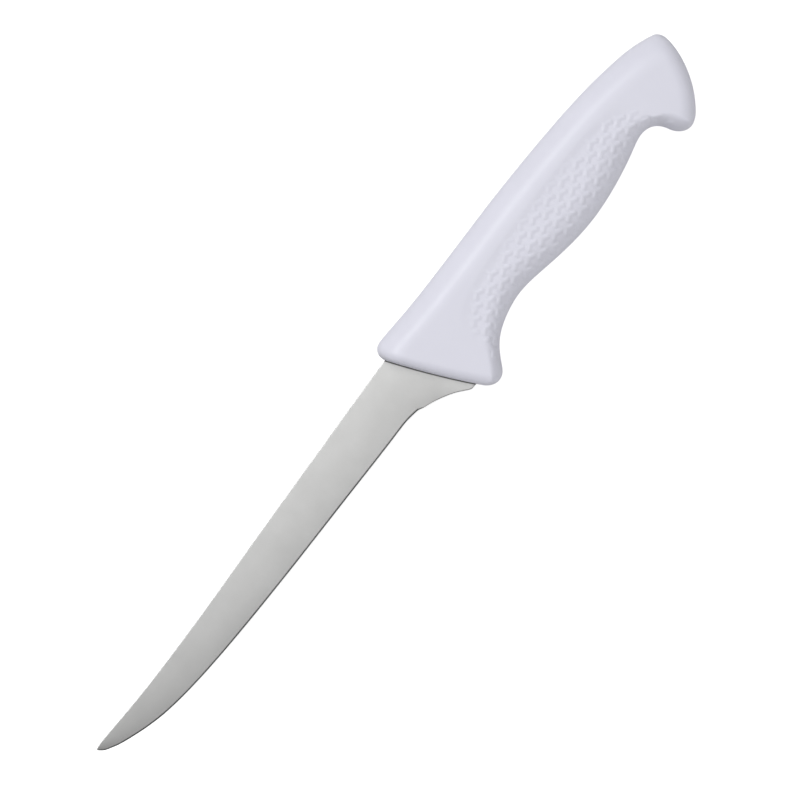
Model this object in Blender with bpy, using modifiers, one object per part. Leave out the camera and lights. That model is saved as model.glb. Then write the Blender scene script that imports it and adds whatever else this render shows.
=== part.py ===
"""A boning knife with a moulded handle, lying on its side.

One stamped steel blank makes the blade, the heel and the hidden tang. A hard plastic core is
moulded round the tang, and the white handle is moulded over the core.

The shapes are drawn in millimetres in the knife's own datum frame: X runs from the tip to the
pommel, Y from the cutting edge to the spine, and Z is zero in the middle of the thickness. An
empty puts that frame where the knife lies, with the origin under the middle of the knife.
"""

import math

import bmesh
import bpy
import numpy as np

MM = 0.001
GAP = 0.3  # clearance between neighbouring solids
MERGE = 1e-5  # metres, for halves and caps that meet

DATUM_AT = (-142.7, 14.85, 10.5)  # where the tip lies, in the middle plane

# Blank: blade, heel and tang. Outlines are (x, y) points.
STOCK = 2.0  # thickness of the strip
TIP_STOCK = 1.0  # thickness of the spine at the tip
BEHIND_EDGE = 0.4  # thickness of the grind where the bevel starts
BEVEL = 0.45  # width of the bevel
EASE = 0.2  # rounding of the spine and of the blunt edges
EASE_SHARE = 0.2  # of the blank's height: the rounding is no larger, near the tip
BEVEL_SHARE = 0.4  # of the blank's height: the bevel is no wider, near the tip
TIP_RUN = 20.0  # the upswept tip
SPINE = ((0, 0), (1.5, 0.11), (6, 0), (12.5, -0.45), (25, -1.13), (38, -1.38), (56, -1.43),
         (75, -1.12), (113, -0.65), (138, -0.4), (152, -0.35), (165, -0.35))
EDGE = ((0, -0.45), (0.9, -1.7), (2.8, -3.2), (4.7, -4.35), (7.5, -5.7), (12, -7.5),
        (18.8, -9.75), (28, -11.7), (42, -13.4), (61, -14.7), (85, -15.7), (113, -16.5),
        (136, -17.1), (141.5, -17.35), (145.6, -18.1))
HEEL = ((147.3, -19.1), (150.2, -20.3), (153.9, -22.3), (157.6, -24.9), (159.8, -26.9),
        (160.8, -27.6), (162, -27.8), (165, -27.8))
FULL_STOCK = 164.0  # the grind runs out from the edge's end to here
HANDLE_FROM = 149.0  # the blank needs clearance in the plastic from here
TANG_START = 168.5
TANG_END = 252.0
TANG_TOP = (-4.0, -6.5)  # at the tang's start and at its end
TANG_BOTTOM = (-15.5, -15.0)
TANG_CORNER = 3.0
HOLES = (184.0, 210.0, 236.0)
HOLE_RADIUS = 3.0
HOLE_SIDES = 24

# Handle ribs from the front face to the pommel end: the back end's x and y, the belly end's x and
# y, how far the rib bows towards the pommel, and how deep the belly's rounding is. The first and
# last ribs end in the sharp corners that the corner roundings cut off.
HANDLE_RIBS = (
    (150.2, 4.55, 167.2, -36.5, -0.9, 5.0),
    (158.0, 4.20, 173.2, -29.9, -0.6, 4.5),
    (168.0, 3.45, 178.7, -25.3, -0.2, 5.0),
    (177.0, 3.05, 185.0, -22.9, 0.0, 6.0),
    (188.5, 2.80, 194.4, -21.8, 0.0, 8.0),
    (200.0, 2.65, 203.8, -23.3, 0.0, 9.0),
    (214.0, 2.40, 216.3, -25.75, 0.0, 9.5),
    (228.0, 1.80, 228.9, -26.65, 0.0, 9.5),
    (241.5, 0.95, 241.4, -25.6, 0.0, 9.5),
    (253.5, -0.15, 250.8, -23.9, 0.3, 8.0),
    (262.5, -1.40, 256.5, -23.0, 1.0, 5.0),
    (269.0, -2.60, 260.2, -24.1, 2.0, 3.5),
    (274.5, -3.85, 262.4, -26.7, 3.0, 3.5),
    (279.5, -5.55, 263.3, -30.2, 4.0, 4.5),
    (286.0, -8.60, 264.0, -37.3, 4.7, 4.5),
)
HANDLE_HALF = 10.5  # half the thickness
HANDLE_BACK_ROUND = 9.5  # depth of the rounding along the back
# Corner roundings at the back, at the belly and round the rim of an end face, each as (how far it
# reaches along that face, how far it goes from it)
HANDLE_FRONT = ((6.0, 5.9), (8.0, 5.8), (3.2, 3.2))
HANDLE_END = ((2.6, 2.4), (7.8, 7.5), (5.0, 5.0))

# Grip panel: a shallow recess in both sides, bounded by a superellipse centred on the belly
PANEL_CENTRE = (218.0, -27.0)
PANEL_REACH = (46.5, 19.8)
PANEL_POWER = 4.5
PANEL_SAG = 0.00028  # the panel falls by this much of the square of the distance
PANEL_LEVEL = 193.0  # from here
PANEL_DEPTH = 0.3
PANEL_FADE = 0.14  # share of the reach over which the recess fades out

# Core, inside the handle
CORE_RIBS = (
    (168.5, -0.6, 172.0, -24.0, 0.0, 5.0),
    (180.0, -1.2, 183.0, -19.3, 0.0, 5.0),
    (194.0, -1.4, 196.0, -18.2, 0.0, 5.0),
    (212.0, -1.6, 213.0, -21.0, 0.0, 5.0),
    (229.0, -2.2, 229.0, -22.6, 0.0, 5.0),
    (246.0, -3.6, 244.0, -21.4, 0.0, 5.0),
    (260.0, -5.4, 256.0, -19.4, 0.3, 5.0),
    (270.0, -7.6, 264.5, -21.5, 0.8, 5.0),
    (276.5, -10.5, 269.5, -26.0, 1.2, 5.0),
)
CORE_HALF = 6.8
CORE_BACK_ROUND = 5.0
CORE_ENDS = ((4.0, 4.0),) * 3
GROOVES = (190.0, 203.0, 216.0, 229.0, 242.0, 255.0)  # across both sides of the core
GROOVE_WIDTH = 5.0
GROOVE_DEPTH = 1.5
GROOVE_Y = (-30.0, 6.0)  # the cutters run past the core at both edges

# Fineness
BLANK_STEPS = 12
SMOOTH_UNDER = math.radians(35)  # edges sharper than this stay sharp
CORNER_STEPS = 5
ROUND_STEPS = 5
FLAT_STEPS = 4
PITCH = 5.0  # between sections in the middle
LEAST_ROUND = 2.0


def collection(name):
    made = bpy.data.collections.new(name)
    bpy.context.scene.collection.children.link(made)
    return made


for old in list(bpy.data.objects):
    bpy.data.objects.remove(old)
PARTS = collection("boning_knife")
CUTTERS = collection("cutters")
DATUM = bpy.data.objects.new("tip_datum", None)
DATUM.location = [value * MM for value in DATUM_AT]
PARTS.objects.link(DATUM)


def add_object(name, mesh, group):
    """An object in the datum frame. A cutter stays out of the render."""
    made = bpy.data.objects.new(name, mesh)
    made.parent = DATUM
    group.objects.link(made)
    if group is CUTTERS:
        made.hide_render = True
        made.display_type = "WIRE"
    return made


def set_material(piece, colour, roughness, metallic):
    made = bpy.data.materials.new(piece.name)
    made.use_nodes = True
    shader = made.node_tree.nodes["Principled BSDF"]
    shader.inputs["Base Color"].default_value = (*colour, 1)
    shader.inputs["Roughness"].default_value = roughness
    shader.inputs["Metallic"].default_value = metallic
    piece.data.materials.append(made)


def cut(piece, cutter):
    boolean = piece.modifiers.new("cut_" + cutter.name, "BOOLEAN")
    boolean.operation = "DIFFERENCE"
    boolean.object = cutter


def spline(knots, values, places):
    """The values at these places, on the natural cubic spline through the knots."""
    step = np.diff(knots)
    slope = np.diff(values, axis=0) / step[:, None]
    matrix = np.eye(len(knots))
    bend = np.zeros_like(values)
    for i in range(1, len(step)):
        matrix[i, i - 1 : i + 2] = step[i - 1], 2 * (step[i - 1] + step[i]), step[i]
        bend[i] = 6 * (slope[i] - slope[i - 1])
    bend = np.linalg.solve(matrix, bend)
    i = np.clip(np.searchsorted(knots, places) - 1, 0, len(step) - 1)
    after = ((places - knots[i]) / step[i])[:, None]
    before = 1 - after
    curve = (before**3 - before) * bend[i] + (after**3 - after) * bend[i + 1]
    return before * values[i] + after * values[i + 1] + curve * step[i, None] ** 2 / 6


def height_at(outline, x):
    """Y at these places along X, on the smooth curve through an outline's points."""
    outline = np.array(outline, float)
    return spline(outline[:, 0], outline[:, 1:], x)[:, 0]


def fillet(depth, corner):
    """What a corner rounding cuts off at this depth: its whole reach at zero depth."""
    reach, deep = corner
    left = np.clip(1 - depth / deep, 0, 1)
    return reach * (1 - np.sqrt(1 - left**2))


def smooth_step(value):
    value = np.clip(value, 0, 1)
    return value**2 * (3 - 2 * value)


def quarter_round(steps):
    """Shares of a quarter round's depth and height, from its foot to its crown."""
    angle = np.linspace(0, math.pi / 2, steps + 1)
    return 1 - np.cos(angle), np.sin(angle)


def half_loft(name, sections, group):
    """A solid through the sections: its half over the middle plane, and a Mirror modifier.

    Each section goes over one face, from z = 0 at one edge to z = 0 at the other. The first and
    the last section are closed down to the middle plane.
    """
    made = bmesh.new()
    rows = [[made.verts.new(point * MM) for point in section] for section in sections]
    for near, far in zip(rows, rows[1:]):
        for i in range(len(near) - 1):
            made.faces.new((near[i], far[i], far[i + 1], near[i + 1]))
    for row, turn in ((rows[0], 1), (rows[-1], -1)):
        feet = [made.verts.new((corner.co.x, corner.co.y, 0)) for corner in row[1:-1]]
        feet = [row[0], *feet, row[-1]]
        for i in range(len(row) - 1):
            corners = dict.fromkeys((row[i], row[i + 1], feet[i + 1], feet[i]))
            made.faces.new(list(corners)[::turn])
    mesh = bpy.data.meshes.new(name)
    made.to_mesh(mesh)
    made.free()
    mesh.shade_smooth()
    mesh.set_sharp_from_angle(angle=SMOOTH_UNDER)
    piece = add_object(name, mesh, group)
    mirror = piece.modifiers.new("other_half", "MIRROR")
    mirror.use_axis = (False, False, True)
    mirror.merge_threshold = MERGE
    return piece


def stations(length, near_corner, far_corner):
    """Places along a run of this length, closer together in the roundings at its two ends."""
    share = quarter_round(CORNER_STEPS)[0]
    near = near_corner * share
    far = (length - far_corner * share)[::-1]
    count = round((far[0] - near[-1]) / PITCH)
    return np.concatenate([near, np.linspace(near[-1], far[0], count + 1)[1:-1], far])


def grip_sections(ribs, half_thick, back_round, front, end, grow=0.0):
    """Sections of a rounded grip along its table of ribs. grow makes it larger on every side."""
    ribs = np.array(ribs, float)
    middle = (ribs[:, 0:2] + ribs[:, 2:4]) / 2
    run = np.concatenate([[0], np.cumsum(np.linalg.norm(np.diff(middle, axis=0), axis=1))])
    length = run[-1] + 2 * grow
    places = stations(length, *(max(deep for _, deep in corners) for corners in (front, end)))
    share, rise = quarter_round(ROUND_STEPS)
    sections = []
    for place, row in zip(places, spline(run, ribs, places - grow)):
        cut_back, cut_belly, cut_rim = (
            fillet(place, near) + fillet(length - place, far) for near, far in zip(front, end)
        )
        back, belly, bow, belly_round = row[0:2], row[2:4], row[4], row[5]
        height = np.linalg.norm(belly - back)
        down = (belly - back) / height
        forward = np.array((-down[1], down[0]))
        first, last = cut_back - grow, height - cut_belly + grow
        flat_from = max(back_round, first + LEAST_ROUND)
        flat_to = min(height - belly_round, last - LEAST_ROUND)
        flat = np.linspace(flat_from, flat_to, FLAT_STEPS + 1)[1:-1]
        along = np.concatenate([first + (flat_from - first) * share, flat,
                                (last + (flat_to - last) * share)[::-1]])
        level = np.concatenate([rise, np.ones(len(flat)), rise[::-1]])
        part_way = along / height
        bowed = 4 * bow * part_way * (1 - part_way)
        plan = back + along[:, None] * down + bowed[:, None] * forward
        sections.append(np.column_stack([plan, (half_thick + grow - cut_rim) * level]))
    return np.array(sections)


def recess_panel(sections):
    """Lowers the grip panel in the handle's side, in place."""
    x = sections[..., 0]
    y = sections[..., 1] + PANEL_SAG * (x - PANEL_LEVEL) ** 2
    across = np.abs((x - PANEL_CENTRE[0]) / PANEL_REACH[0]) ** PANEL_POWER
    down = np.abs((y - PANEL_CENTRE[1]) / PANEL_REACH[1]) ** PANEL_POWER
    inside = 1 - (across + down) ** (1 / PANEL_POWER)
    sections[..., 2] *= 1 - PANEL_DEPTH / HANDLE_HALF * smooth_step(inside / PANEL_FADE)


def blank_outline():
    """The blank's places along X, and its top and bottom there."""
    tip_x = TIP_RUN * np.linspace(0, 1, BLANK_STEPS) ** 2
    blade_x = np.concatenate([tip_x, np.linspace(TIP_RUN, EDGE[-1][0], 2 * BLANK_STEPS)[1:]])
    heel_x = np.linspace(HEEL[0][0], HEEL[-1][0], BLANK_STEPS)
    tang_x = np.concatenate([np.linspace(TANG_START, TANG_END - TANG_CORNER, BLANK_STEPS)[:-1],
                             TANG_END - TANG_CORNER * quarter_round(CORNER_STEPS)[0][::-1]])
    part_way = (tang_x - TANG_START) / (TANG_END - TANG_START)
    corner = fillet(TANG_END - tang_x, (TANG_CORNER, TANG_CORNER))
    top = [height_at(SPINE, blade_x), height_at(SPINE, heel_x),
           TANG_TOP[0] + (TANG_TOP[1] - TANG_TOP[0]) * part_way - corner]
    bottom = [height_at(EDGE, blade_x), height_at(HEEL, heel_x),
              TANG_BOTTOM[0] + (TANG_BOTTOM[1] - TANG_BOTTOM[0]) * part_way + corner]
    return np.concatenate([blade_x, heel_x, tang_x]), np.concatenate(top), np.concatenate(bottom)


def blank_sections():
    """Sections of the blank, each from the spine over one face to the edge."""
    x, top, bottom = blank_outline()
    height = top - bottom
    full = np.clip(x / HEEL[0][0], 0, 1)
    spine_half = (TIP_STOCK + (STOCK - TIP_STOCK) * full) / 2
    run_out = smooth_step((x - EDGE[-1][0]) / (FULL_STOCK - EDGE[-1][0]))
    edge_half = (BEHIND_EDGE + (STOCK - BEHIND_EDGE) * run_out) / 2
    blunt = x >= HEEL[0][0]
    ease = np.minimum(EASE, EASE_SHARE * height)
    blunt_ease = np.minimum(ease, edge_half / 2)
    bevel = np.where(blunt, blunt_ease, np.minimum(BEVEL, BEVEL_SHARE * height))
    lip_y = bottom + np.where(blunt, 0, bevel / 2)
    lip_z = np.where(blunt, edge_half - blunt_ease, edge_half / 2)
    zero = np.zeros_like(x)
    rows = [(top, zero), (top, spine_half - ease), (top - ease, spine_half),
            (bottom + bevel, edge_half), (lip_y, lip_z), (bottom, zero)]
    return np.array([np.column_stack([x, y, z]) for y, z in rows]).transpose(1, 0, 2)


def grown_outline(points, gap):
    """A closed outline, given counter-clockwise, moved outwards by a gap."""
    points = np.array(points, float)
    edge = np.roll(points, -1, axis=0) - points
    out = np.column_stack([edge[:, 1], -edge[:, 0]]) / np.linalg.norm(edge, axis=1)[:, None]
    before = np.roll(out, 1, axis=0)
    return points + gap * (out + before) / (1 + np.sum(out * before, axis=1))[:, None]


def circle(x, y, radius):
    angle = np.linspace(0, 2 * math.pi, HOLE_SIDES, endpoint=False)
    return np.column_stack([x + radius * np.cos(angle), y + radius * np.sin(angle)])


def hole_centres():
    """Hole centres on the tang's middle line."""
    ends = (TANG_TOP[0] + TANG_BOTTOM[0]) / 2, (TANG_TOP[1] + TANG_BOTTOM[1]) / 2
    for x in HOLES:
        part_way = (x - TANG_START) / (TANG_END - TANG_START)
        yield x, ends[0] + (ends[1] - ends[0]) * part_way


def outline_cutter(name, outlines, half_thick):
    """A flat cutter in the middle plane. An outline inside another one is a hole."""
    curve = bpy.data.curves.new(name, "CURVE")
    curve.dimensions = "2D"
    curve.fill_mode = "BOTH"
    curve.extrude = half_thick * MM
    for outline in outlines:
        line = curve.splines.new("POLY")
        line.points.add(len(outline) - 1)
        for point, (x, y) in zip(line.points, outline):
            point.co = (x * MM, y * MM, 0, 1)
        line.use_cyclic_u = True
    flat = add_object(name + "_outline", curve, CUTTERS)
    mesh = bpy.data.meshes.new_from_object(flat.evaluated_get(bpy.context.evaluated_depsgraph_get()))
    bpy.data.objects.remove(flat)
    welded = bmesh.new()
    welded.from_mesh(mesh)
    bmesh.ops.remove_doubles(welded, verts=welded.verts, dist=MERGE)
    bmesh.ops.recalc_face_normals(welded, faces=welded.faces)
    welded.to_mesh(mesh)
    welded.free()
    return add_object(name, mesh, CUTTERS)


def tang_clearance():
    """The room that the heel and the tang need in the plastic, with posts left in the holes."""
    x, top, bottom = blank_outline()
    inside = x >= HANDLE_FROM
    lower = np.column_stack([x, bottom])[inside]
    upper = np.column_stack([x, top])[inside][::-1]
    posts = [circle(x, y, HOLE_RADIUS - GAP) for x, y in hole_centres()]
    outline = grown_outline(np.concatenate([lower, upper]), GAP)
    return outline_cutter("tang_clearance", [outline, *posts], STOCK / 2 + GAP)


def groove_cutter(name, gap):
    """Boxes for the grooves across the core's two sides, smaller by the gap at floor and walls."""
    made = bmesh.new()
    floor = CORE_HALF - GROOVE_DEPTH + gap
    top = CORE_HALF + GROOVE_DEPTH
    size = (GROOVE_WIDTH - 2 * gap, GROOVE_Y[1] - GROOVE_Y[0], top - floor)
    for x in GROOVES:
        for side in (-1, 1):
            box = bmesh.ops.create_cube(made, size=1)["verts"]
            bmesh.ops.scale(made, vec=[value * MM for value in size], verts=box)
            centre = (x, sum(GROOVE_Y) / 2, side * (floor + top) / 2)
            bmesh.ops.translate(made, vec=[value * MM for value in centre], verts=box)
    mesh = bpy.data.meshes.new(name)
    made.to_mesh(mesh)
    made.free()
    return add_object(name, mesh, CUTTERS)


def core_loft(name, group, grow=0.0):
    """The core before its cuts, larger by grow on every side."""
    sections = grip_sections(CORE_RIBS, CORE_HALF, CORE_BACK_ROUND, CORE_ENDS, CORE_ENDS, grow)
    return half_loft(name, sections, group)


def make_blade():
    """Blade, heel and tang, with holes that the plastic's posts fill."""
    blade = half_loft("blade", blank_sections(), PARTS)
    for number, (x, y) in enumerate(hole_centres(), 1):
        bpy.ops.mesh.primitive_cylinder_add(
            vertices=HOLE_SIDES, radius=HOLE_RADIUS * MM, depth=2 * STOCK * MM)
        drill = bpy.context.object
        hole = add_object(f"tang_hole_{number}", drill.data, CUTTERS)
        hole.location = (x * MM, y * MM, 0)
        bpy.data.objects.remove(drill)
        cut(blade, hole)
    set_material(blade, (0.62, 0.62, 0.61), 0.34, 1.0)


def make_core(clearance):
    """The core, slotted for the tang, with grooves that key it to the handle."""
    core = core_loft("handle_core", PARTS)
    cut(core, clearance)
    cut(core, groove_cutter("core_grooves", 0))
    set_material(core, (0.62, 0.63, 0.64), 0.55, 0.0)


def make_skin(clearance):
    """The white handle, hollow round the core and the tang."""
    sections = grip_sections(HANDLE_RIBS, HANDLE_HALF, HANDLE_BACK_ROUND, HANDLE_FRONT, HANDLE_END)
    recess_panel(sections)
    skin = half_loft("handle_skin", sections, PARTS)
    cavity = core_loft("core_cavity", CUTTERS, GAP)
    cut(cavity, groove_cutter("skin_ribs", GAP))
    cut(skin, cavity)
    cut(skin, clearance)
    set_material(skin, (0.72, 0.72, 0.79), 0.45, 0.0)


CLEARANCE = tang_clearance()
make_blade()
make_core(CLEARANCE)
make_skin(CLEARANCE)
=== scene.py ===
"""The looks of a boning knife with a satin blade and a moulded white handle.

The shapes are drawn in millimetres in the knife's datum frame: X runs from the tip to the pommel,
Y from the cutting edge to the spine, and Z is zero in the middle of the thickness. They follow
the same tables as the solids, with many more points: the handle carries its raised stars and its
parting line, and the blade its rounded spine and polished bevel.
"""

import math

import bmesh
import bpy
import numpy as np
from mathutils import Matrix, Vector


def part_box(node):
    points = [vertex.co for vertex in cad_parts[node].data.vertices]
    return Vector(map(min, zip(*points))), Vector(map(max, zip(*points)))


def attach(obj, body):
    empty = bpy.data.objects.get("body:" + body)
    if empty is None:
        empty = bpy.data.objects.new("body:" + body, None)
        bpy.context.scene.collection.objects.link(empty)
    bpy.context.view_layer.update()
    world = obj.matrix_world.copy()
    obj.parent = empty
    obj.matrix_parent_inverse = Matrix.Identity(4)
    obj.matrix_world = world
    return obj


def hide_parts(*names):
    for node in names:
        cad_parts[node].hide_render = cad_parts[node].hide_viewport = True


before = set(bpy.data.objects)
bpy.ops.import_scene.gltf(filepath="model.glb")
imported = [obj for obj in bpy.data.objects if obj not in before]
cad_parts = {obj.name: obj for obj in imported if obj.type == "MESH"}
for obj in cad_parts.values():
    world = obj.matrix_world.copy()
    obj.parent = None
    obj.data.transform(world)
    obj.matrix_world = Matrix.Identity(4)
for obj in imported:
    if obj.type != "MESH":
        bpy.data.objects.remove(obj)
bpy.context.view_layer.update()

MM = 0.001
GAP = 0.3  # clearance between neighbouring pieces
MERGE = 1e-5  # metres, for halves and caps that meet
TINY = 1e-9  # millimetres, against a division by zero

# Blank: blade, heel and tang. Outlines are (x, y) points.
STOCK = 2.0  # thickness of the strip
TIP_STOCK = 1.0  # thickness of the spine at the tip
BEHIND_EDGE = 0.4  # thickness of the grind where the bevel starts
BEVEL = 0.45  # width of the bevel
EASE = 0.2  # rounding of the spine and of the blunt edges
EASE_SHARE = 0.2  # of the blank's height: the rounding is no larger, near the tip
HONED_SHARE = 0.78  # of the bevel: faces whose centres lie below this are honed, and painted dark for the bevel's dark reflection
BEVEL_SHARE = 0.4  # of the blank's height: the bevel is no wider, near the tip
CROWN = 0.13  # how far the ground face bulges between the spine and the edge
FULL_CROWN = 14.0  # height of the blade from which it bulges that far
TIP_RUN = 20.0  # the upswept tip
SPINE = ((0, 0), (1.5, 0.11), (6, 0), (12.5, -0.45), (25, -1.13), (38, -1.38), (56, -1.43),
         (75, -1.12), (113, -0.65), (138, -0.4), (152, -0.35), (165, -0.35))
EDGE = ((0, -0.45), (0.9, -1.7), (2.8, -3.2), (4.7, -4.35), (7.5, -5.7), (12, -7.5),
        (18.8, -9.75), (28, -11.7), (42, -13.4), (61, -14.7), (85, -15.7), (113, -16.5),
        (136, -17.1), (141.5, -17.35), (145.6, -18.1))
HEEL = ((147.3, -19.1), (150.2, -20.3), (153.9, -22.3), (157.6, -24.9), (159.8, -26.9),
        (160.8, -27.6), (162, -27.8), (165, -27.8))
FULL_STOCK = 164.0  # the grind runs out from the edge's end to here
HANDLE_FROM = 149.0  # the blank needs clearance in the plastic from here
TANG_START = 168.5
TANG_END = 252.0
TANG_TOP = (-4.0, -6.5)  # at the tang's start and at its end
TANG_BOTTOM = (-15.5, -15.0)
TANG_CORNER = 3.0
HOLES = (184.0, 210.0, 236.0)
HOLE_RADIUS = 3.0

# Handle ribs from the front face to the pommel end: the back end's x and y, the belly end's x and
# y, how far the rib bows towards the pommel, and how deep the belly's rounding is. The first and
# last ribs end in the sharp corners that the corner roundings cut off.
HANDLE_RIBS = (
    (150.2, 4.55, 167.2, -36.5, -0.9, 5.0),
    (158.0, 4.20, 173.2, -29.9, -0.6, 4.5),
    (168.0, 3.45, 178.7, -25.3, -0.2, 5.0),
    (177.0, 3.05, 185.0, -22.9, 0.0, 6.0),
    (188.5, 2.80, 194.4, -21.8, 0.0, 8.0),
    (200.0, 2.65, 203.8, -23.3, 0.0, 9.0),
    (214.0, 2.40, 216.3, -25.75, 0.0, 9.5),
    (228.0, 1.80, 228.9, -26.65, 0.0, 9.5),
    (241.5, 0.95, 241.4, -25.6, 0.0, 9.5),
    (253.5, -0.15, 250.8, -23.9, 0.3, 8.0),
    (262.5, -1.40, 256.5, -23.0, 1.0, 5.0),
    (269.0, -2.60, 260.2, -24.1, 2.0, 3.5),
    (274.5, -3.85, 262.4, -26.7, 3.0, 3.5),
    (279.5, -5.55, 263.3, -30.2, 4.0, 4.5),
    (286.0, -8.60, 264.0, -37.3, 4.7, 4.5),
)
HANDLE_HALF = 10.5  # half the thickness
HANDLE_BACK_ROUND = 9.5  # depth of the rounding along the back
# Corner roundings at the back, at the belly and round the rim of an end face, each as (how far it
# reaches along that face, how far it goes from it)
HANDLE_FRONT = ((6.0, 5.9), (8.0, 5.8), (3.2, 3.2))
HANDLE_END = ((2.6, 2.4), (7.8, 7.5), (5.0, 5.0))

# Grip panel: a shallow recess in both sides, bounded by a superellipse centred on the belly
PANEL_CENTRE = (218.0, -27.0)
PANEL_REACH = (46.5, 19.8)
PANEL_POWER = 4.5
PANEL_SAG = 0.00028  # the panel and its rows fall by this much of the square of the distance
PANEL_LEVEL = 193.0  # from here
PANEL_DEPTH = 0.3
PANEL_FADE = 0.14  # share of the reach over which the recess fades out

# Raised stars in the panel, on staggered rows that are evenly spaced in plan
STAR_PITCH = 7.33  # along the knife
ROW_PITCH = 2.1  # from one row to the next, which is shifted by half the pitch
FIRST_STAR = (193.0, -10.9)
STAR_REACH = (45.6, 18.4)  # a star is there if its centre is inside this superellipse
STAR_FADE = 0.02  # share of the reach over which the last stars fade out
STAR_ARM = 1.8  # length of each of the three arms
STAR_FLAT = 0.2  # half width of an arm's flat top
STAR_FOOT = 1.0  # half width of an arm at its foot
STAR_LEAN = 0.3  # share by which the foot is nearer on the spine side, and further on the other
STAR_HEIGHT = 0.27
STAR_ARMS = ((90, 0.2), (210, 1.0), (330, 1.0))  # each arm's angle, and its height at its end
STAR_FACING = (0.15, 0.5)  # part of the normal across the knife, over which the stars fade in

# Parting line, where the mould's halves met: a fine raised line
SEAM_HEIGHT = 0.06
SEAM_HALF = 0.09
SEAM_ANGLES = (0.0, 0.008, 0.016, 0.026)  # radians up the roundings, for the line's own points

# Core, inside the handle
CORE_RIBS = (
    (168.5, -0.6, 172.0, -24.0, 0.0, 5.0),
    (180.0, -1.2, 183.0, -19.3, 0.0, 5.0),
    (194.0, -1.4, 196.0, -18.2, 0.0, 5.0),
    (212.0, -1.6, 213.0, -21.0, 0.0, 5.0),
    (229.0, -2.2, 229.0, -22.6, 0.0, 5.0),
    (246.0, -3.6, 244.0, -21.4, 0.0, 5.0),
    (260.0, -5.4, 256.0, -19.4, 0.3, 5.0),
    (270.0, -7.6, 264.5, -21.5, 0.8, 5.0),
    (276.5, -10.5, 269.5, -26.0, 1.2, 5.0),
)
CORE_HALF = 6.8
CORE_BACK_ROUND = 5.0
CORE_ENDS = ((4.0, 4.0),) * 3
GROOVES = (190.0, 203.0, 216.0, 229.0, 242.0, 255.0)  # across both sides of the core
GROOVE_WIDTH = 5.0
GROOVE_DEPTH = 1.5
GROOVE_Y = (-30.0, 6.0)  # the cutters run past the core at both edges

# Fineness: (corner steps, pitch, back steps, flat steps, belly steps)
FINE = (18, 0.3, 22, 26, 54)
COARSE = (5, 5.0, 5, 3, 5)
BLANK_STEPS = 60
CLEARANCE_STEPS = 24
SPINE_STEPS = 4
HIGHEST_STEPS = 1000  # along the spine, to find its highest place
# Where each face of the blank has its rows of points, from the spine to the edge
FACE_SHARES = (0.01, 0.06, 0.14, 0.24, 0.34, 0.44, 0.54, 0.64, 0.74, 0.83, 0.91, 0.96, 0.99, 1)
HOLE_SIDES = 48
LEAST_ROUND = 2.0  # what a section's rounding spans at least
SMOOTH_UNDER = math.radians(60)  # edges sharper than this stay sharp

# Camera, over the knife and turned so that the handle is up to the right
CAMERA_CENTRE = (1.95, 3.28)
CAMERA_DISTANCE = 1500.0
VIEW_WIDTH = 250.8
KNIFE_ANGLE = 53.6
SENSOR_WIDTH = 36.0
CLIP = (0.05, 20.0)  # metres

# Studio lights: place and size in metres, and power
SPINE_LIGHT = ((0.06, 0.69, 0.65), (0.22, 0.6), 3.3)
TOP_LIGHT = ((0.06, 0.10, 0.70), (0.5, 0.4), 0.70)
BELLY_LIGHT = ((0.05, -0.75, 0.45), (0.5, 0.8), 1.0)
WORLD_LIGHT = 0.45
END_LIGHT = 0.12  # the same, from the directions of the knife's two ends
END_FADE = (0.5, 0.95)  # share of the direction along the knife over which it falls to that
FLOOR_HALF = 6.0  # metres
FLOOR_GREY = 0.75
FLOOR_ROUGHNESS = 0.8
FLOOR_GLOW = 0.72  # only to the camera, so that the floor is white and lights the knife little

# Plastics: darker and lighter colour, range of roughness, and height of the grain
HANDLE_PLASTIC = ((0.828, 0.828, 0.928), (0.842, 0.842, 0.942), (0.38, 0.42), 0.003)
CORE_PLASTIC = ((0.58, 0.59, 0.60), (0.64, 0.65, 0.66), (0.5, 0.62), 0.03)
PLASTIC_ROUGHNESS = 0.45  # where its noise is not read
PLASTIC_IOR = 1.49
CLOUD_SIZE = 14.0  # of the change between the two colours
GLOSS_SIZE = 5.0  # of the change in roughness
GRAIN_SIZES = (0.6, 0.22)  # coarse and fine
COARSE_GRAIN = 1.3  # height of the coarse grain, as a share of the fine grain's

# Steels: darker and lighter colour, range of roughness, and the stretch and depth of the grinding lines
SATIN_STEEL = ((0.525, 0.525, 0.52), (0.555, 0.555, 0.55), (0.30, 0.38), (1, 0.03, 1), 0.002)
# the honed steel is glossier, and its near-black colour is a painted dark reflection, not the steel's
# own tone
HONED_STEEL_PAINTED_DARK = ((0.10, 0.10, 0.10), (0.15, 0.15, 0.15), (0.14, 0.22), (1, 0.2, 1), 0.001)
STEEL_ROUGHNESS = 0.3  # where its noise is not read
STEEL_CLOUD_SIZE = 9.0
LINE_SIZE = 0.12
LINE_BREAKUP = 0.6

EVEN = (1, 1, 1)  # a noise that isn't stretched
NOISE_MIDDLE = (0.3, 0.7)  # where most of a noise's values lie
JOINT_SHADOW_LINE = (0.15, 0.55)  # where the painted shadow line at the handle's front face ends, and fades out
# colour of the painted shadow in the gap where the blade enters the handle
JOINT_SHADOW_COLOUR = (0.05, 0.05, 0.05)


# Curves and profiles

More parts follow.
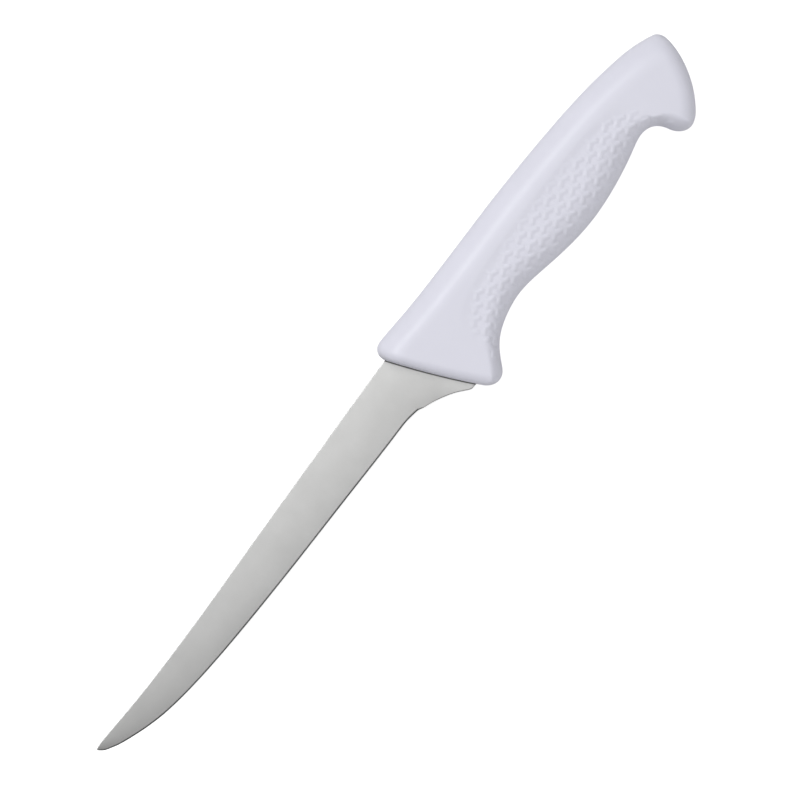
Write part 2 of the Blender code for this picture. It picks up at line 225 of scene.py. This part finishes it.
def spline(knots, values, places):
    """The values at these places, on the natural cubic spline through the knots."""
    step = np.diff(knots)
    slope = np.diff(values, axis=0) / step[:, None]
    matrix = np.eye(len(knots))
    bend = np.zeros_like(values)
    for i in range(1, len(step)):
        matrix[i, i - 1 : i + 2] = step[i - 1], 2 * (step[i - 1] + step[i]), step[i]
        bend[i] = 6 * (slope[i] - slope[i - 1])
    bend = np.linalg.solve(matrix, bend)
    i = np.clip(np.searchsorted(knots, places) - 1, 0, len(step) - 1)
    after = ((places - knots[i]) / step[i])[:, None]
    before = 1 - after
    curve = (before**3 - before) * bend[i] + (after**3 - after) * bend[i + 1]
    return before * values[i] + after * values[i + 1] + curve * step[i, None] ** 2 / 6


def height_at(outline, x):
    """The outline's Y at each X."""
    outline = np.array(outline, float)
    return spline(outline[:, 0], outline[:, 1:], x)[:, 0]


def fillet(depth, corner):
    """What a corner rounding cuts off at this depth: its whole reach at zero depth."""
    reach, deep = corner
    left = np.clip(1 - depth / deep, 0, 1)
    return reach * (1 - np.sqrt(1 - left**2))


def smooth_step(value):
    value = np.clip(value, 0, 1)
    return value**2 * (3 - 2 * value)


def quarter_round(steps, extra=()):
    """Shares of a quarter round's depth and height, from its foot to its crown."""
    angle = np.union1d(np.linspace(0, math.pi / 2, steps + 1), extra)
    return 1 - np.cos(angle), np.sin(angle)


def superellipse(x, y, reach):
    """How deep a point is inside the panel's outline: 1 at its centre, 0 on it, below 0 outside."""
    across = np.abs((x - PANEL_CENTRE[0]) / reach[0]) ** PANEL_POWER
    down = np.abs((y - PANEL_CENTRE[1]) / reach[1]) ** PANEL_POWER
    return 1 - (across + down) ** (1 / PANEL_POWER)


def grown_outline(points, gap):
    """A closed outline, given counter-clockwise, moved outwards by a gap."""
    points = np.array(points, float)
    edge = np.roll(points, -1, axis=0) - points
    out = np.column_stack([edge[:, 1], -edge[:, 0]]) / np.linalg.norm(edge, axis=1)[:, None]
    before = np.roll(out, 1, axis=0)
    return points + gap * (out + before) / (1 + np.sum(out * before, axis=1))[:, None]


def circle(x, y, radius):
    angle = np.linspace(0, 2 * math.pi, HOLE_SIDES, endpoint=False)
    return np.column_stack([x + radius * np.cos(angle), y + radius * np.sin(angle)])


# Meshes

def add_object(name, mesh):
    """An object whose mesh, drawn in the datum frame, is put where the knife lies."""
    mesh.transform(TO_ROW)
    made = bpy.data.objects.new(name, mesh)
    bpy.context.scene.collection.objects.link(made)
    return made


def half_loft(name, sections):
    """A solid through the sections, each from z = 0 over one face to z = 0, and its mirror image."""
    count, width = sections.shape[:2]
    index = np.arange(count * width).reshape(count, width)
    near, far = index[:-1], index[1:]
    sides = np.stack([near[:, :-1], far[:, :-1], far[:, 1:], near[:, 1:]], axis=-1).reshape(-1, 4)
    made = bmesh.new()
    verts = [made.verts.new(point) for point in sections.reshape(-1, 3) * MM]
    for quad in sides:
        made.faces.new([verts[i] for i in quad])
    for row, turn in ((index[0], 1), (index[-1], -1)):
        feet = [made.verts.new((verts[i].co.x, verts[i].co.y, 0)) for i in row[1:-1]]
        feet = [verts[row[0]], *feet, verts[row[-1]]]
        for i in range(width - 1):
            corners = dict.fromkeys((verts[row[i]], verts[row[i + 1]], feet[i + 1], feet[i]))
            made.faces.new(list(corners)[::turn])
    other = bmesh.ops.duplicate(made, geom=made.verts[:] + made.faces[:])["geom"]
    for vert in other:
        if isinstance(vert, bmesh.types.BMVert):
            vert.co.z = -vert.co.z
    bmesh.ops.reverse_faces(made, faces=[f for f in other if isinstance(f, bmesh.types.BMFace)])
    bmesh.ops.remove_doubles(made, verts=[v for v in made.verts if abs(v.co.z) < MERGE], dist=MERGE)
    mesh = bpy.data.meshes.new(name)
    made.to_mesh(mesh)
    made.free()
    return add_object(name, mesh)


def extruded(name, outlines, half_thick):
    """A flat solid in the middle plane. An outline inside another one is a hole."""
    curve = bpy.data.curves.new(name, "CURVE")
    curve.dimensions = "2D"
    curve.fill_mode = "BOTH"
    curve.extrude = half_thick * MM
    for outline in outlines:
        line = curve.splines.new("POLY")
        line.points.add(len(outline) - 1)
        for point, (x, y) in zip(line.points, outline):
            point.co = (x * MM, y * MM, 0, 1)
        line.use_cyclic_u = True
    flat = bpy.data.objects.new(name, curve)
    bpy.context.scene.collection.objects.link(flat)
    mesh = bpy.data.meshes.new_from_object(flat.evaluated_get(bpy.context.evaluated_depsgraph_get()))
    bpy.data.objects.remove(flat)
    welded = bmesh.new()
    welded.from_mesh(mesh)
    bmesh.ops.remove_doubles(welded, verts=welded.verts, dist=MERGE)
    bmesh.ops.recalc_face_normals(welded, faces=welded.faces)
    welded.to_mesh(mesh)
    welded.free()
    return add_object(name, mesh)


def cut(piece, cutters):
    """Cuts the cutters from the piece, in its mesh, and removes them."""
    for cutter in cutters:
        boolean = piece.modifiers.new(cutter.name, "BOOLEAN")
        boolean.operation = "DIFFERENCE"
        boolean.object = cutter
    graph = bpy.context.evaluated_depsgraph_get()
    mesh = bpy.data.meshes.new_from_object(piece.evaluated_get(graph))
    piece.modifiers.clear()
    piece.data = mesh
    for cutter in cutters:
        bpy.data.objects.remove(cutter)


# Handle

def stations(length, near_corner, far_corner, steps, pitch):
    """Places along a run of this length, closer together in the roundings at its two ends."""
    share = quarter_round(steps)[0]
    near = near_corner * share
    far = (length - far_corner * share)[::-1]
    count = round((far[0] - near[-1]) / pitch)
    return np.concatenate([near, np.linspace(near[-1], far[0], count + 1)[1:-1], far])


def grip_sections(ribs, half_thick, back_round, front, end, fineness, grow=0.0, extra=()):
    """Sections of a rounded grip along its table of ribs. grow makes it larger on every side."""
    corner_steps, pitch, back_steps, flat_steps, belly_steps = fineness
    ribs = np.array(ribs, float)
    middle = (ribs[:, 0:2] + ribs[:, 2:4]) / 2
    run = np.concatenate([[0], np.cumsum(np.linalg.norm(np.diff(middle, axis=0), axis=1))])
    length = run[-1] + 2 * grow
    deepest = (max(deep for _, deep in corners) for corners in (front, end))
    places = stations(length, *deepest, corner_steps, pitch)
    back_share, back_rise = quarter_round(back_steps, extra)
    belly_share, belly_rise = quarter_round(belly_steps, extra)
    sections = []
    for place, row in zip(places, spline(run, ribs, places - grow)):
        cut_back, cut_belly, cut_rim = (
            fillet(place, near) + fillet(length - place, far) for near, far in zip(front, end)
        )
        back, belly, bow, belly_round = row[0:2], row[2:4], row[4], row[5]
        height = np.linalg.norm(belly - back)
        down = (belly - back) / height
        forward = np.array((-down[1], down[0]))
        first, last = cut_back - grow, height - cut_belly + grow
        flat_from = max(back_round, first + LEAST_ROUND)
        flat_to = min(height - belly_round, last - LEAST_ROUND)
        flat = np.linspace(flat_from, flat_to, flat_steps + 1)[1:-1]
        along = np.concatenate([first + (flat_from - first) * back_share, flat,
                                (last + (flat_to - last) * belly_share)[::-1]])
        level = np.concatenate([back_rise, np.ones(len(flat)), belly_rise[::-1]])
        part_way = along / height
        bowed = 4 * bow * part_way * (1 - part_way)
        plan = back + along[:, None] * down + bowed[:, None] * forward
        sections.append(np.column_stack([plan, (half_thick + grow - cut_rim) * level]))
    return np.array(sections)


def panel_place(sections):
    """X and Y in plan, with Y raised by the panel's sag."""
    x = sections[..., 0]
    return x, sections[..., 1] + PANEL_SAG * (x - PANEL_LEVEL) ** 2


def panel_recess(sections):
    """How far the grip panel lies below the handle's side, at each point."""
    return PANEL_DEPTH * smooth_step(superellipse(*panel_place(sections), PANEL_REACH) / PANEL_FADE)


def star_height(x, y):
    """How high the stars stand at a place on the panel: 1 on a star's arms."""
    arms = [(math.cos(math.radians(a)), math.sin(math.radians(a)), tip) for a, tip in STAR_ARMS]
    nearest_row = np.round((FIRST_STAR[1] - y) / ROW_PITCH)
    height = np.zeros_like(x)
    for row in (nearest_row + offset for offset in range(-2, 3)):
        start = FIRST_STAR[0] + (row % 2) * STAR_PITCH / 2
        nearest = np.round((x - start) / STAR_PITCH)
        for column in (nearest - 1, nearest, nearest + 1):
            centre_x = start + column * STAR_PITCH
            centre_y = FIRST_STAR[1] - row * ROW_PITCH
            there = smooth_step(superellipse(centre_x, centre_y, STAR_REACH) / STAR_FADE)
            dx, dy = x - centre_x, y - centre_y
            for arm_x, arm_y, tip in arms:
                reach = np.clip(dx * arm_x + dy * arm_y, 0, STAR_ARM)
                off_x, off_y = dx - reach * arm_x, dy - reach * arm_y
                away = np.hypot(off_x, off_y) + TINY
                foot = STAR_FOOT * (1 - STAR_LEAN * off_y / away)
                flank = smooth_step((foot - away) / (foot - STAR_FLAT))
                crest = 1 - (1 - tip) * reach / STAR_ARM
                height = np.maximum(height, there * crest * flank)
    return height


def normals_of(sections):
    """Outward normals of a half surface, which meets its mirror image square to the middle plane."""
    mirror = np.array((1, 1, -1))
    before, after = sections[:, 1:2] * mirror, sections[:, -2:-1] * mirror
    padded = np.concatenate([before, sections, after], axis=1)
    across = padded[:, 2:] - padded[:, :-2]
    along = np.gradient(sections, axis=0)
    normal = np.cross(along, across)
    normal /= np.linalg.norm(normal, axis=-1, keepdims=True)
    return normal * np.sign(normal[len(normal) // 2, normal.shape[1] // 2, 2])


def handle_surface():
    """The handle's outer sections, with the grip panel, its stars and the parting line."""
    sections = grip_sections(HANDLE_RIBS, HANDLE_HALF, HANDLE_BACK_ROUND, HANDLE_FRONT, HANDLE_END,
                             FINE, extra=SEAM_ANGLES)
    sections[..., 2] *= 1 - panel_recess(sections) / HANDLE_HALF
    normal = normals_of(sections)
    facing = smooth_step((normal[..., 2] - STAR_FACING[0]) / (STAR_FACING[1] - STAR_FACING[0]))
    room = HANDLE_HALF - sections[..., 2]
    raised = np.minimum(STAR_HEIGHT, room) * facing
    raised *= star_height(*panel_place(sections))
    raised += SEAM_HEIGHT * np.exp(-(sections[..., 2] / SEAM_HALF) ** 2)
    raised[[0, -1]] = 0
    sections += raised[..., None] * normal
    sections[:, [0, -1], 2] = 0
    return sections


# Blade

def blank_outline(fine):
    """The blank's places along X, and its top and bottom there. fine closes the places up."""
    tip_x = TIP_RUN * np.linspace(0, 1, fine) ** 2
    blade_x = np.linspace(TIP_RUN, EDGE[-1][0], 2 * fine)[1:]
    heel_x = np.linspace(HEEL[0][0], HEEL[-1][0], fine)
    tang_x = np.concatenate([np.linspace(TANG_START, TANG_END - TANG_CORNER, fine)[:-1],
                             TANG_END - TANG_CORNER * quarter_round(fine // 3)[0][::-1]])
    part_way = (tang_x - TANG_START) / (TANG_END - TANG_START)
    corner = fillet(TANG_END - tang_x, (TANG_CORNER, TANG_CORNER))
    cutting_x = np.concatenate([tip_x, blade_x])
    top = [height_at(SPINE, cutting_x), height_at(SPINE, heel_x),
           TANG_TOP[0] + (TANG_TOP[1] - TANG_TOP[0]) * part_way - corner]
    bottom = [height_at(EDGE, cutting_x), height_at(HEEL, heel_x),
              TANG_BOTTOM[0] + (TANG_BOTTOM[1] - TANG_BOTTOM[0]) * part_way + corner]
    return np.concatenate([cutting_x, heel_x, tang_x]), np.concatenate(top), np.concatenate(bottom)


def blank_sections():
    """Sections of the blank, each from the spine over one face to the edge."""
    x, top, bottom = blank_outline(BLANK_STEPS)
    height = top - bottom
    full = np.clip(x / HEEL[0][0], 0, 1)
    spine_half = (TIP_STOCK + (STOCK - TIP_STOCK) * full) / 2
    run_out = smooth_step((x - EDGE[-1][0]) / (FULL_STOCK - EDGE[-1][0]))
    edge_half = (BEHIND_EDGE + (STOCK - BEHIND_EDGE) * run_out) / 2
    blunt = x >= HEEL[0][0]
    ease = np.minimum(EASE, EASE_SHARE * height)
    blunt_ease = np.minimum(ease, edge_half / 2)
    bevel = np.where(blunt, blunt_ease, np.minimum(BEVEL, BEVEL_SHARE * height))
    lip_y = bottom + np.where(blunt, 0, bevel / 2)
    lip_z = np.where(blunt, edge_half - blunt_ease, edge_half / 2)
    crown = CROWN * np.clip(height / FULL_CROWN, 0, 1) * (1 - run_out)
    rows = [(top, np.zeros_like(x))]
    for share, rise in zip(*quarter_round(SPINE_STEPS)):
        rows.append((top - ease * share, spine_half - ease * (1 - rise)))
    for share in FACE_SHARES:
        rows.append(((top - ease) * (1 - share) + (bottom + bevel) * share,
                     spine_half * (1 - share) + edge_half * share + 4 * crown * share * (1 - share)))
    rows += [(lip_y, lip_z), (bottom, np.zeros_like(x))]
    return np.array([np.column_stack([x, y, z]) for y, z in rows]).transpose(1, 0, 2)


def hole_centres():
    """Hole centres on the tang's middle line."""
    ends = (TANG_TOP[0] + TANG_BOTTOM[0]) / 2, (TANG_TOP[1] + TANG_BOTTOM[1]) / 2
    for x in HOLES:
        part_way = (x - TANG_START) / (TANG_END - TANG_START)
        yield x, ends[0] + (ends[1] - ends[0]) * part_way


def tang_clearance():
    """The room that the heel and the tang need in the plastic, with posts left in the holes."""
    x, top, bottom = blank_outline(CLEARANCE_STEPS)
    inside = x >= HANDLE_FROM
    lower = np.column_stack([x, bottom])[inside]
    upper = np.column_stack([x, top])[inside][::-1]
    posts = [circle(x, y, HOLE_RADIUS - GAP) for x, y in hole_centres()]
    outline = grown_outline(np.concatenate([lower, upper]), GAP)
    return extruded("tang_clearance", [outline, *posts], STOCK / 2 + GAP)


def groove_cutters():
    """Boxes for the ribs that the handle's plastic leaves in the core's grooves."""
    floor = CORE_HALF - GROOVE_DEPTH + GAP
    top = CORE_HALF + GROOVE_DEPTH
    for x in GROOVES:
        for side in (-1, 1):
            made = bmesh.new()
            bmesh.ops.create_cube(made, size=MM)
            size = (GROOVE_WIDTH - 2 * GAP, GROOVE_Y[1] - GROOVE_Y[0], top - floor)
            bmesh.ops.scale(made, vec=size, verts=made.verts)
            centre = Vector((x, sum(GROOVE_Y) / 2, side * (floor + top) / 2)) * MM
            bmesh.ops.translate(made, vec=centre, verts=made.verts)
            mesh = bpy.data.meshes.new("groove")
            made.to_mesh(mesh)
            made.free()
            yield add_object("groove", mesh)


def row_transform():
    """From the datum frame, in metres, to the row frame: where the CAD blade's tip lies."""
    low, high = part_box("blade")
    highest = height_at(SPINE, np.linspace(0, HEEL[0][0], HIGHEST_STEPS)).max()
    return Vector((low.x, high.y - highest * MM, (low.z + high.z) / 2))


# Materials

def new_material(name, roughness, metallic, ior=1.5):
    material = bpy.data.materials.new(name)
    material.use_nodes = True
    shader = material.node_tree.nodes["Principled BSDF"]
    shader.inputs["Roughness"].default_value = roughness
    shader.inputs["Metallic"].default_value = metallic
    shader.inputs["IOR"].default_value = ior
    return material, shader


def add_node(tree, kind, sockets, **settings):
    """A node with its settings and its sockets, which take a number or another node's output."""
    made = tree.nodes.new(kind)
    for name, value in settings.items():
        setattr(made, name, value)
    for name, value in sockets.items():
        if isinstance(value, bpy.types.NodeSocket):
            tree.links.new(value, made.inputs[name])
        else:
            made.inputs[name].default_value = value
    return made


def place_on(tree, scale):
    """The place on the piece, stretched by this scale in each direction."""
    place = tree.nodes.new("ShaderNodeTexCoord").outputs["Object"]
    return add_node(tree, "ShaderNodeMapping", {"Vector": place, "Scale": scale}).outputs[0]


def noise(tree, scale, size, detail=2.0, roughness=0.5):
    """Noise whose features are about size millimetres, before the stretch."""
    sockets = {"Vector": place_on(tree, scale), "Scale": 1 / (size * MM), "Detail": detail,
               "Roughness": roughness}
    return add_node(tree, "ShaderNodeTexNoise", sockets).outputs[0]


def spread(tree, value, low, high):
    """Noise brought from its middle range to the range from low to high."""
    sockets = {"Value": value, "From Min": NOISE_MIDDLE[0], "From Max": NOISE_MIDDLE[1],
               "To Min": low, "To Max": high}
    return add_node(tree, "ShaderNodeMapRange", sockets).outputs[0]


def two_tone(tree, value, dark, light):
    """A colour between the two, as the noise has it."""
    sockets = {"Fac": spread(tree, value, 0.0, 1.0), "Color1": (*dark, 1), "Color2": (*light, 1)}
    return add_node(tree, "ShaderNodeMixRGB", sockets).outputs[0]


def bump(tree, height, distance, below=None):
    """Bumps this many millimetres high, on top of other bumps."""
    sockets = {"Height": height, "Distance": distance * MM}
    if below:
        sockets["Normal"] = below
    return add_node(tree, "ShaderNodeBump", sockets).outputs[0]


def connect(tree, shader, **sockets):
    """Links outputs to the shader's sockets, whose names have underscores here for spaces."""
    for name, value in sockets.items():
        tree.links.new(value, shader.inputs[name.replace("_", " ")])


def moulded_plastic(name, dark, light, roughness, grain):
    """Moulded polypropylene with a fine spark-eroded grain."""
    material, shader = new_material(name, PLASTIC_ROUGHNESS, 0.0, PLASTIC_IOR)
    tree = material.node_tree
    cloudy = noise(tree, EVEN, CLOUD_SIZE, detail=3.0)
    glossy = noise(tree, EVEN, GLOSS_SIZE, detail=4.0)
    coarse, fine = (noise(tree, EVEN, size) for size in GRAIN_SIZES)
    grained = bump(tree, fine, grain, bump(tree, coarse, COARSE_GRAIN * grain))
    connect(tree, shader, Base_Color=two_tone(tree, cloudy, dark, light),
            Roughness=spread(tree, glossy, *roughness), Normal=grained)
    return material


def painted_joint_shadow(tree, colour):
    """The colour, darkened in a hairline of painted shadow along the handle's front face, which is an
    arc in plan.
    """
    start, end = np.array(HANDLE_RIBS[0][:2]), np.array(HANDLE_RIBS[0][2:4])
    bow = -HANDLE_RIBS[0][4]
    chord = np.linalg.norm(end - start)
    radius = chord**2 / (8 * bow) + bow / 2
    towards_pommel = np.array((start[1] - end[1], end[0] - start[0])) / chord
    centre = (start + end) / 2 + towards_pommel * (radius - bow)
    place = tree.nodes.new("ShaderNodeTexCoord").outputs["Object"]
    flat = add_node(tree, "ShaderNodeVectorMath", {0: place, 1: (1, 1, 0)}, operation="MULTIPLY")
    at = (DATUM.x + centre[0] * MM, DATUM.y + centre[1] * MM, 0)
    away = add_node(tree, "ShaderNodeVectorMath", {0: flat.outputs[0], 1: at}, operation="DISTANCE")
    sockets = {"Value": away.outputs["Value"], "From Min": (radius + JOINT_SHADOW_LINE[0]) * MM,
               "From Max": (radius + JOINT_SHADOW_LINE[1]) * MM}
    shade = add_node(tree, "ShaderNodeMapRange", sockets, interpolation_type="SMOOTHSTEP")
    sockets = {"Fac": shade.outputs[0], "Color1": (*JOINT_SHADOW_COLOUR, 1), "Color2": colour}
    return add_node(tree, "ShaderNodeMixRGB", sockets).outputs[0]


def ground_steel(name, dark, light, roughness, across, depth):
    """Stainless steel with fine grinding lines across the blade."""
    material, shader = new_material(name, STEEL_ROUGHNESS, 1.0)
    tree = material.node_tree
    lines = noise(tree, across, LINE_SIZE, detail=3.0, roughness=LINE_BREAKUP)
    cloudy = noise(tree, EVEN, STEEL_CLOUD_SIZE, detail=3.0)
    # both steels carry the painted shadow line along the handle's front face
    connect(tree, shader, Base_Color=painted_joint_shadow(tree, two_tone(tree, cloudy, dark, light)),
            Roughness=spread(tree, lines, *roughness), Normal=bump(tree, lines, depth))
    return material


# Pieces

def finish_piece(piece, node):
    """Smooths the piece and puts it in the place of the CAD node."""
    piece.data.shade_smooth()
    piece.data.set_sharp_from_angle(angle=SMOOTH_UNDER)
    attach(piece, "root")
    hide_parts(node)


def make_handle():
    """The white handle, hollow round the core and the tang."""
    handle = half_loft("moulded_handle", handle_surface())
    cavity_sections = grip_sections(CORE_RIBS, CORE_HALF, CORE_BACK_ROUND, CORE_ENDS, CORE_ENDS,
                                    COARSE, GAP)
    cavity = half_loft("core_cavity", cavity_sections)
    cut(cavity, list(groove_cutters()))
    cut(handle, [cavity, tang_clearance()])
    handle.data.materials.clear()
    handle.data.materials.append(moulded_plastic("white_polypropylene", *HANDLE_PLASTIC))
    finish_piece(handle, "handle_skin")


def make_blade():
    """Blade, heel and tang, with holes that the plastic's posts fill."""
    blade = half_loft("ground_blade", blank_sections())
    drills = [extruded("drill", [circle(x, y, HOLE_RADIUS)], STOCK) for x, y in hole_centres()]
    cut(blade, drills)
    blade.data.materials.clear()
    blade.data.materials.append(ground_steel("satin_steel", *SATIN_STEEL))
    blade.data.materials.append(ground_steel("honed_steel_painted_dark", *HONED_STEEL_PAINTED_DARK))
    finish_piece(blade, "blade")
    mark_bevel(blade.data)


def mark_bevel(mesh):
    """Gives the honed steel to the faces between the bevel's shoulder and the edge: glossier, with a
    near-black colour that is a painted dark reflection.
    """
    centres = np.empty(len(mesh.polygons) * 3)
    mesh.polygons.foreach_get("center", centres)
    centres = (centres.reshape(-1, 3) - np.array(DATUM)) / MM
    x, y = centres[:, 0], centres[:, 1]
    (edge_x, edge_y), (heel_x, heel_y) = EDGE[-1], HEEL[0]
    below_edge = np.interp(x, (edge_x, heel_x), (0, heel_y - edge_y))
    bottom = height_at(EDGE, np.clip(x, 0, edge_x)) + below_edge
    honed_painted_dark = (x < heel_x) & (y - bottom < HONED_SHARE * BEVEL)
    mesh.polygons.foreach_set("material_index", honed_painted_dark.astype(np.int32))


def dress_core():
    """The hidden core stays the CAD node, in a grey plastic of its own."""
    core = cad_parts["handle_core"]
    core.data.materials.clear()
    core.data.materials.append(moulded_plastic("grey_polypropylene", *CORE_PLASTIC))


# Studio

def add_camera():
    """Looks straight down at the knife."""
    data = bpy.data.cameras.new("camera")
    data.sensor_width = SENSOR_WIDTH
    data.lens = SENSOR_WIDTH * CAMERA_DISTANCE / VIEW_WIDTH
    data.clip_start, data.clip_end = CLIP
    camera = bpy.data.objects.new("camera", data)
    camera.location = (CAMERA_CENTRE[0] * MM, CAMERA_CENTRE[1] * MM, DATUM.z + CAMERA_DISTANCE * MM)
    camera.rotation_euler = (0, 0, -math.radians(KNIFE_ANGLE))
    bpy.context.scene.collection.objects.link(camera)
    bpy.context.scene.camera = camera


def add_softbox(name, location, size, power, target=(0, 0, 0)):
    """A rectangular light that faces the target. The camera doesn't see it."""
    data = bpy.data.lights.new(name, "AREA")
    data.shape = "RECTANGLE"
    data.size, data.size_y = size
    data.energy = power
    light = bpy.data.objects.new(name, data)
    light.location = location
    light.rotation_euler = (Vector(location) - Vector(target)).to_track_quat("Z", "X").to_euler()
    light.visible_camera = False
    bpy.context.scene.collection.objects.link(light)


def add_floor():
    """A plain floor, which glows to the camera only."""
    made = bmesh.new()
    bmesh.ops.create_grid(made, x_segments=1, y_segments=1, size=FLOOR_HALF)
    mesh = bpy.data.meshes.new("floor")
    made.to_mesh(mesh)
    made.free()
    floor = bpy.data.objects.new("floor", mesh)
    material, shader = new_material("floor", FLOOR_ROUGHNESS, 0.0)
    shader.inputs["Base Color"].default_value = (FLOOR_GREY, FLOOR_GREY, FLOOR_GREY, 1)
    shader.inputs["Specular IOR Level"].default_value = 0.0
    shader.inputs["Emission Color"].default_value = (1, 1, 1, 1)
    tree = material.node_tree
    seen = tree.nodes.new("ShaderNodeLightPath").outputs["Is Camera Ray"]
    glow = add_node(tree, "ShaderNodeMath", {0: seen, 1: FLOOR_GLOW}, operation="MULTIPLY")
    connect(tree, shader, Emission_Strength=glow.outputs[0])
    mesh.materials.append(material)
    bpy.context.scene.collection.objects.link(floor)


def add_world():
    """Soft light from all round, weaker from the knife's two ends. The camera sees it white."""
    world = bpy.data.worlds.new("studio")
    world.use_nodes = True
    tree = world.node_tree
    background = tree.nodes["Background"]
    background.inputs["Color"].default_value = (1, 1, 1, 1)
    direction = tree.nodes.new("ShaderNodeTexCoord").outputs["Generated"]
    along = add_node(tree, "ShaderNodeSeparateXYZ", {"Vector": direction}).outputs["X"]
    size = add_node(tree, "ShaderNodeMath", {0: along}, operation="ABSOLUTE").outputs[0]
    sockets = {"Value": size, "From Min": END_FADE[0], "From Max": END_FADE[1],
               "To Min": WORLD_LIGHT, "To Max": END_LIGHT}
    light = add_node(tree, "ShaderNodeMapRange", sockets, interpolation_type="SMOOTHSTEP").outputs[0]
    seen = tree.nodes.new("ShaderNodeLightPath").outputs["Is Camera Ray"]
    strength = add_node(tree, "ShaderNodeMath", {0: light, 1: seen}, operation="MAXIMUM").outputs[0]
    tree.links.new(strength, background.inputs["Strength"])
    bpy.context.scene.world = world


DATUM = row_transform()
TO_ROW = Matrix.Translation(DATUM)

make_blade()
make_handle()
dress_core()
add_camera()
add_floor()
add_world()
add_softbox("spine_side", *SPINE_LIGHT)
add_softbox("overhead", *TOP_LIGHT)
add_softbox("belly_side", *BELLY_LIGHT)
bpy.context.scene.view_settings.view_transform = "Standard"
